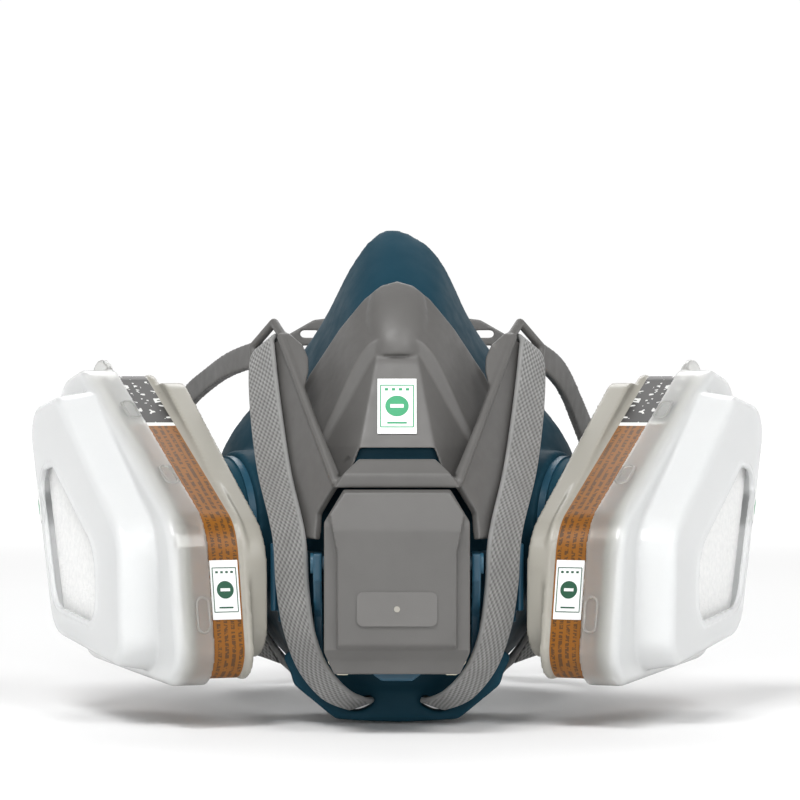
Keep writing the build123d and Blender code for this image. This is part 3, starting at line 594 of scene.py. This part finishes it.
def weave(across, along, width):
    """Height of the weave, 0 in its gaps and 1 on a thread: staggered slanted floats inside plain borders."""
    u = (across + THREAD_SLANT * along) / (2 * THREAD_PITCH)
    v = along / (2 * THREAD_ROW)
    wave = np.cos(2 * math.pi * u) * np.cos(2 * math.pi * v)
    height = np.clip(THREAD_MIDDLE + THREAD_SWING * wave, 0, 1)
    border = np.clip((width / 2 - np.abs(across) - SELVEDGE) / SELVEDGE_FADE, 0, 1)
    return height * border + SELVEDGE_HEIGHT * (1 - border)


def strap_section(width):
    """The band's cross section: places across it, their height off its middle, and whether they are woven."""
    half = WEB_THICKNESS / 2
    edge = width / 2 - half
    flat = np.linspace(-edge, edge, max(8, int(width / WEAVE_STEP)))
    turns = np.radians([-60, -30, 0, 30, 60])
    section = [(u, half, True) for u in flat]
    section += [(edge + half * math.cos(a), half * math.sin(-a), False) for a in turns]
    section += [(u, -half, True) for u in flat[::-1]]
    return section + [(-edge - half * math.cos(a), half * math.sin(a), False) for a in turns]


def strap(name, stations, mirror_x, behind=None, ahead_of=None):
    """A woven band through stations of (inner edge, outer edge), in millimetres, or only the stretch of it
    that lies behind one depth or ahead of another."""
    rows = spline_through([(*inner, *outer) for inner, outer in stations], WEAVE_STEP)
    inner, outer = rows[:, :3], rows[:, 3:]
    centre = (inner + outer) / 2
    travelled = np.concatenate([[0], np.cumsum(np.linalg.norm(np.diff(centre, axis=0), axis=1))])
    forward = np.gradient(centre, axis=0)
    side = outer - inner
    width = np.linalg.norm(side, axis=1)
    side /= width[:, None]
    off = np.cross(side, forward)
    off /= np.linalg.norm(off, axis=1)[:, None]
    typical = float(np.median(width))
    first = 0 if behind is None else int(np.searchsorted(centre[:, 1], behind))
    last = len(rows) if ahead_of is None else int(np.searchsorted(centre[:, 1], ahead_of)) + 1
    rows, centre, side, off = rows[first:last], centre[first:last], side[first:last], off[first:last]
    travelled, width = travelled[first:last], width[first:last]
    section = strap_section(typical)
    spots, threads = [], []
    scale = width / typical
    for u, v, woven_face in section:
        height = np.full(len(rows), SELVEDGE_HEIGHT)
        depth = np.full(len(rows), v)
        if woven_face:
            height = weave(np.full(len(rows), u), travelled, typical)
            depth = v - np.sign(v) * THREAD_DEPTH * (1 - height)
        spots.append(centre + side * (u * scale)[:, None] + off * depth[:, None])
        threads.append(height)
    spots = np.stack(spots, axis=1).reshape(-1, 3)
    spots[:, 0] *= mirror_x
    threads = np.stack(threads, axis=1).reshape(-1)
    faces = closed_faces(len(rows), len(section))
    if mirror_x > 0:
        faces = [face[::-1] for face in faces]
    piece = mesh_piece(name, (spots * MM).tolist(), faces, smooth=True)
    # the weave's height, which the webbing material also paints as highlight and shade
    layer = piece.data.attributes.new("thread", "FLOAT", "POINT")
    layer.data.foreach_set("value", threads.astype(np.float32))
    piece.data.materials.append(MATERIALS["webbing"])
    return piece


# From behind the yoke's loop, over the sheet, down its side, through the chin lip and out under the chin.
FRONT_STRAP = [
    ((33.6, -12.0, 33.0), (36.2, -9.9, 27.8)), ((30.6, -18.6, 33.8), (35.5, -12.3, 29.8)),
    ((31.8, -20.6, 34.6), (37.1, -13.8, 30.5)), ((32.6, -22.2, 33.6), (38.2, -15.2, 29.2)),
    ((32.4, -24.2, 31.5), (38.8, -15.9, 26.9)), ((30.9, -31.0, 19.8), (38.7, -19.5, 17.5)),
    ((27.6, -43.7, 0.2), (36.2, -30.1, -0.8)), ((23.3, -57.3, -17.5), (31.6, -44.1, -18.2)),
    ((22.4, -56.0, -31.0), (30.8, -43.0, -30.5)), ((20.8, -57.0, -42.0), (28.9, -43.8, -41.5)),
    ((17.3, -52.8, -51.0), (25.2, -41.4, -51.8)), ((12.0, -49.0, -57.0), (19.6, -42.8, -58.6)),
    ((6.7, -40.2, -59.9), (13.2, -39.4, -61.9)), ((6.7, -27.4, -59.9), (13.2, -27.4, -62.2)),
    ((10.0, -20.0, -61.8), (20.0, -22.0, -61.4)), ((18.5, -11.0, -62.2), (29.5, -12.5, -53.0)),
    ((30.6, -2.0, -53.6), (39.0, -3.0, -39.8)),
]
NECK_STRAP = [
    ((31.4, -1.1, -53.4), (39.8, -2.0, -39.6)), ((36.6, 4.0, -52.0), (44.6, 4.0, -38.1)),
    ((43.4, 22.0, -51.8), (47.4, 22.0, -36.3)), ((47.0, 42.0, -51.8), (47.6, 42.0, -35.8)),
    ((49.5, 62.0, -52.0), (49.5, 62.0, -36.0)), ((46.8, 72.0, -52.0), (46.8, 72.0, -36.0)),
    ((42.4, 78.0, -52.0), (42.4, 78.0, -36.0)), ((26.4, 94.0, -52.0), (26.4, 94.0, -36.0)),
    ((22.0, 98.4, -52.0), (22.0, 98.4, -36.0)), ((12.0, 103.0, -52.0), (12.0, 103.0, -36.0)),
    ((8.4, 103.6, -52.0), (8.4, 103.6, -36.0)),
]


def build_webbing():
    for side, x in SIDES.items():
        front = strap(f"front_strap_{side}", FRONT_STRAP, x)
        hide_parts(f"front_webbing_{side}", f"loop_webbing_{side}")
        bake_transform(front)
        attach(front, "facepiece")
        neck = strap(f"neck_strap_{side}", NECK_STRAP, x, behind=NECK_BEND_TO)
        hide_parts(f"neck_webbing_{side}")
        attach(neck, "neck_strap")
        bend = strap(f"neck_strap_bend_{side}", NECK_STRAP, x, ahead_of=NECK_BEND_TO)
        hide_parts(f"neck_webbing_{side}")
        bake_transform(bend)
        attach(bend, "facepiece")


# ---------------------------------------------------------------- stickers' marks and other small things
DECAL_LIFT = 0.03          # a mark stands this far off its sticker
DECAL_HALF = 0.05          # half its thickness
WRAP_FROM, WRAP_GAP = 50.0, 0.03     # a patch drops from this far out and stops this far off the surface
PATCH_ROWS, PATCH_COLUMNS = 13, 11
STICKER_AT = (43.6, 5.0)   # rearwards and up from the port, on the plateau's rear edge
STICKER_TURN = math.radians(-22)
STICKER_HALF, STICKER_THICKNESS = (2.1, 4.6), 0.12
LOZENGE_HALF, LOZENGE_THICKNESS = (1.3, 2.2), 0.2
LOZENGE_NARROWING = 0.75
BADGE_SIZE, BAND_STICKER_SIZE = (10.0, 16.0), (7.6, 15.0)


class Place:
    """A flat place, with u and v across it and the normal out of it. Its sizes are in millimetres."""

    def __init__(self, origin, u, v):
        self.origin, self.u, self.v = Vector(origin), Vector(u).normalized(), Vector(v).normalized()
        self.normal = self.u.cross(self.v)

    def at(self, u, v, lift=0.0):
        return self.origin + (self.u * u + self.v * v + self.normal * lift) * MM


class PortPlace(Place):
    """A cartridge's own frame: u rearwards, v up and out away from the mask."""

    def __init__(self, side):
        joint = JOINTS[f"cartridge_{side}_twist"]
        self.out = Vector(joint["axis"])
        up = Vector((0, 0, 1))
        super().__init__(joint["pos_m"], up.cross(self.out) * SIDES[side], up)

    def at(self, u, v, lift=0.0):
        return self.origin + (self.u * u + self.v * v + self.out * lift) * MM


def facing(node, toward):
    """The middle and the mean normal of a node's faces that look roughly toward a direction."""
    toward = Vector(toward).normalized()
    middle, normal, area = Vector(), Vector(), 0.0
    for face in frame["nodes"][node].data.polygons:
        if face.normal.dot(toward) > 0.8:
            middle += face.center * face.area
            normal += face.normal * face.area
            area += face.area
    return middle / area, normal.normalized()


def place_on(node, toward, up):
    """The place on a node's flat side that looks toward a direction, with v nearest to up."""
    middle, normal = facing(node, toward)
    u = Vector(up).cross(normal).normalized()
    return Place(middle, u, normal.cross(u))


def decal(name, place, outline, slot, node, lift=DECAL_LIFT, half=DECAL_HALF):
    """A thin flat shape on a place, from an outline that runs anticlockwise."""
    spots = [place.at(u, v, level) for level in (lift - half, lift + half) for u, v in outline]
    finish_piece(mesh_piece(name, spots, closed_faces(2, len(outline))), node, slot)


def disc(radius, sides=48):
    turns = [2 * math.pi * i / sides for i in range(sides)]
    return [(radius * math.cos(t), radius * math.sin(t)) for t in turns]


def bar(width, height, u=0.0, v=0.0):
    return [(u - width / 2, v - height / 2), (u + width / 2, v - height / 2),
            (u + width / 2, v + height / 2), (u - width / 2, v + height / 2)]


def rounded_bar(width, height, radius, corner_steps=6):
    outline = []
    for i, (su, sv) in enumerate(((1, 1), (-1, 1), (-1, -1), (1, -1))):
        for step in range(corner_steps + 1):
            turn = math.pi / 2 * (i + step / corner_steps)
            outline.append((su * (width / 2 - radius) + radius * math.cos(turn),
                            sv * (height / 2 - radius) + radius * math.sin(turn)))
    return outline


def sticker_marks(name, node, place, width, height, slot):
    """A plain mark in place of print: a disc with a pale bar across it, a thin frame and short rules.
    Its sizes are shares of the sticker's width or height."""
    rule = 0.028 * width
    decal(f"{name}_disc", place, disc(0.30 * width), slot, node)
    decal(f"{name}_disc_bar", place, bar(0.34 * width, 0.10 * width), "paper", node, lift=2 * DECAL_LIFT)
    for sign in (-1, 1):
        decal(f"{name}_side_{sign + 1}", place, bar(rule, 0.76 * height, u=sign * 0.42 * width), slot, node)
        decal(f"{name}_end_{sign + 1}", place, bar(0.84 * width, rule, v=sign * 0.38 * height), slot, node)
    row = 0.305 * height
    for i, share in enumerate((-0.27, -0.09, 0.09, 0.27)):
        decal(f"{name}_tick_{i}", place, bar(0.09 * width, 0.07 * width, share * width, row), slot, node)
    decal(f"{name}_foot", place, bar(0.5 * width, 0.05 * width, v=-row), slot, node)


def patch_spots(half_width, half_height, narrowing):
    """A grid of places round STICKER_AT, rearwards and up from the port, narrower towards both ends."""
    cos, sin = math.cos(STICKER_TURN), math.sin(STICKER_TURN)
    spots = []
    for i in range(PATCH_ROWS):
        share = 2 * i / (PATCH_ROWS - 1) - 1
        v = half_height * share
        reach = half_width * (1 - narrowing * abs(share))
        for j in range(PATCH_COLUMNS):
            u = reach * (2 * j / (PATCH_COLUMNS - 1) - 1)
            spots.append((STICKER_AT[0] + u * cos - v * sin, STICKER_AT[1] + u * sin + v * cos))
    return spots


def wrapped(name, places, thickness, surface, port, slot, node):
    """A thin patch pressed onto a surface along the port's axis, from a grid of places."""
    spots = []
    for level in (0.0, thickness):
        for u, v in places:
            hit, normal, _, _ = surface.ray_cast(port.at(u, v, WRAP_FROM), -port.out)
            spots.append(hit + normal * (level + WRAP_GAP) * MM)
    rows, columns, top = PATCH_ROWS, PATCH_COLUMNS, len(places)
    faces = []
    for i in range(rows - 1):
        for j in range(columns - 1):
            a, d = i * columns + j, (i + 1) * columns + j
            faces += [(d, d + 1, a + 1, a), (top + a, top + a + 1, top + d + 1, top + d)]
    rim = list(range(columns)) + [i * columns + columns - 1 for i in range(1, rows)]
    rim += [(rows - 1) * columns + j for j in reversed(range(columns - 1))]
    rim += [i * columns for i in reversed(range(1, rows - 1))]
    faces += [(a, b, top + b, top + a) for a, b in zip(rim, rim[1:] + rim[:1])]
    if port.normal.dot(port.out) < 0:
        faces = [face[::-1] for face in faces]
    return finish_piece(mesh_piece(name, spots, faces, smooth=True), node, slot)


def build_retainer_sticker(side, port):
    """The sticker beside the window, which folds over the plateau's rear edge, with a small green lozenge."""
    shell = bpy.data.objects[f"filter_retainer_{side}_moulding"].data
    surface = BVHTree.FromPolygons([v.co for v in shell.vertices], [p.vertices for p in shell.polygons])
    node = f"retainer_sticker_{side}"
    sticker = wrapped(f"retainer_sticker_{side}_wrap", patch_spots(*STICKER_HALF, 0.0), STICKER_THICKNESS,
                      surface, port, "paper", node)
    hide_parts(node)
    wrapped(f"retainer_mark_{side}", patch_spots(*LOZENGE_HALF, LOZENGE_NARROWING), LOZENGE_THICKNESS,
            surface, port, "green_ink", node)


def build_stickers():
    badge = place_on("badge", (0, -1, 0.4), (0, 0, 1))
    sticker_marks("badge_mark", "badge", badge, *BADGE_SIZE, "green_ink")
    for side in SIDES:
        port = PortPlace(side)
        node = f"band_sticker_{side}"
        spot = place_on(node, -port.u, port.v)
        sticker_marks(f"band_mark_{side}", node, spot, *BAND_STICKER_SIZE, "dark_green_ink")
        build_retainer_sticker(side, port)


def tube(name, path, radius, slot, node, sides=10):
    """A round tube along a closed flat path."""
    count = len(path)
    middle = sum(path, Vector()) / count
    spots, faces = [], []
    for i, here in enumerate(path):
        forward = (path[(i + 1) % count] - path[i - 1]).normalized()
        flat = (here - middle) - forward * (here - middle).dot(forward)
        flat.normalize()
        off = forward.cross(flat)
        spots += [here + (flat * a + off * b) * radius * MM for a, b in disc(1.0, sides)]
        faces += quads(i, (i + 1) % count, sides)
    finish_piece(mesh_piece(name, spots, faces, smooth=True), node, slot)


# The retainer's outline round the port: rearwards and up, as in its CAD sketch.
RETAINER_CORNERS = [(-46.0, -39.0), (-37.5, 3.0), (37.0, 43.2), (61.5, 38.5), (36.0, -35.5)]
# Each snap's edge of that outline, and its share of the way along it.
SNAPS = [(0, 0.45), (1, 0.30), (1, 0.72), (3, 0.5), (4, 0.3), (4, 0.7)]
SNAP_LENGTH, SNAP_WIDTH, SNAP_WIRE = 9.0, 3.2, 0.4
SNAP_PROUD = 0.1           # how far a rim's middle line is outside the skirt
SNAP_RADIUS = SNAP_WIDTH / 2 - 0.01
SNAP_MIDDLE = 18.7         # how far out from the cartridge's inner face a rim's middle is


def build_snaps():
    """The raised rims of the retainer's snap windows, near its skirt's free edge."""
    for side in SIDES:
        port = PortPlace(side)
        for i, (edge, share) in enumerate(SNAPS):
            start = Vector(RETAINER_CORNERS[edge])
            end = Vector(RETAINER_CORNERS[(edge + 1) % len(RETAINER_CORNERS)])
            along = (end - start).normalized()
            middle = start.lerp(end, share) + Vector((-along.y, along.x)) * SNAP_PROUD
            path = []
            for a, b in rounded_bar(SNAP_LENGTH, SNAP_WIDTH, SNAP_RADIUS, 8):
                flat = middle + along * a
                path.append(port.at(flat.x, flat.y, SNAP_MIDDLE + b))
            tube(f"snap_rim_{side}_{i}", path, SNAP_WIRE, "clear_plastic", f"filter_retainer_{side}")


PAD_Z = -34.5
PAD_WIDTH, PAD_HEIGHT, PAD_CORNER, PAD_HALF = 20.0, 8.5, 1.6, 0.3
GATE_RADIUS, GATE_LIFT, GATE_HALF = 0.75, 0.25, 0.2


def build_latch_details():
    """A plain raised pad near the lever's foot, and the moulding's gate mark in it."""
    place = place_on("latch_cover", (0, -1, 0), (0, 0, 1))
    place.origin = Vector((0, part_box("latch_cover")[0][1], PAD_Z * MM))
    decal("latch_pad", place, rounded_bar(PAD_WIDTH, PAD_HEIGHT, PAD_CORNER), "shell_plastic", "latch_cover",
          lift=0.0, half=PAD_HALF)
    decal("latch_gate_mark", place, disc(GATE_RADIUS, 24), "case_plastic", "latch_cover",
          lift=GATE_LIFT, half=GATE_HALF)


# ---------------------------------------------------------------- the object
def paint_nodes():
    """Every CAD node takes its slot's material."""
    for node, obj in frame["nodes"].items():
        obj.data.materials.clear()
        obj.data.materials.append(MATERIALS[SLOT_OF[node]])


add_camera()
add_stage()
MATERIALS = build_materials()
paint_nodes()
build_mouldings()
build_webbing()
build_stickers()
build_snaps()
build_latch_details()
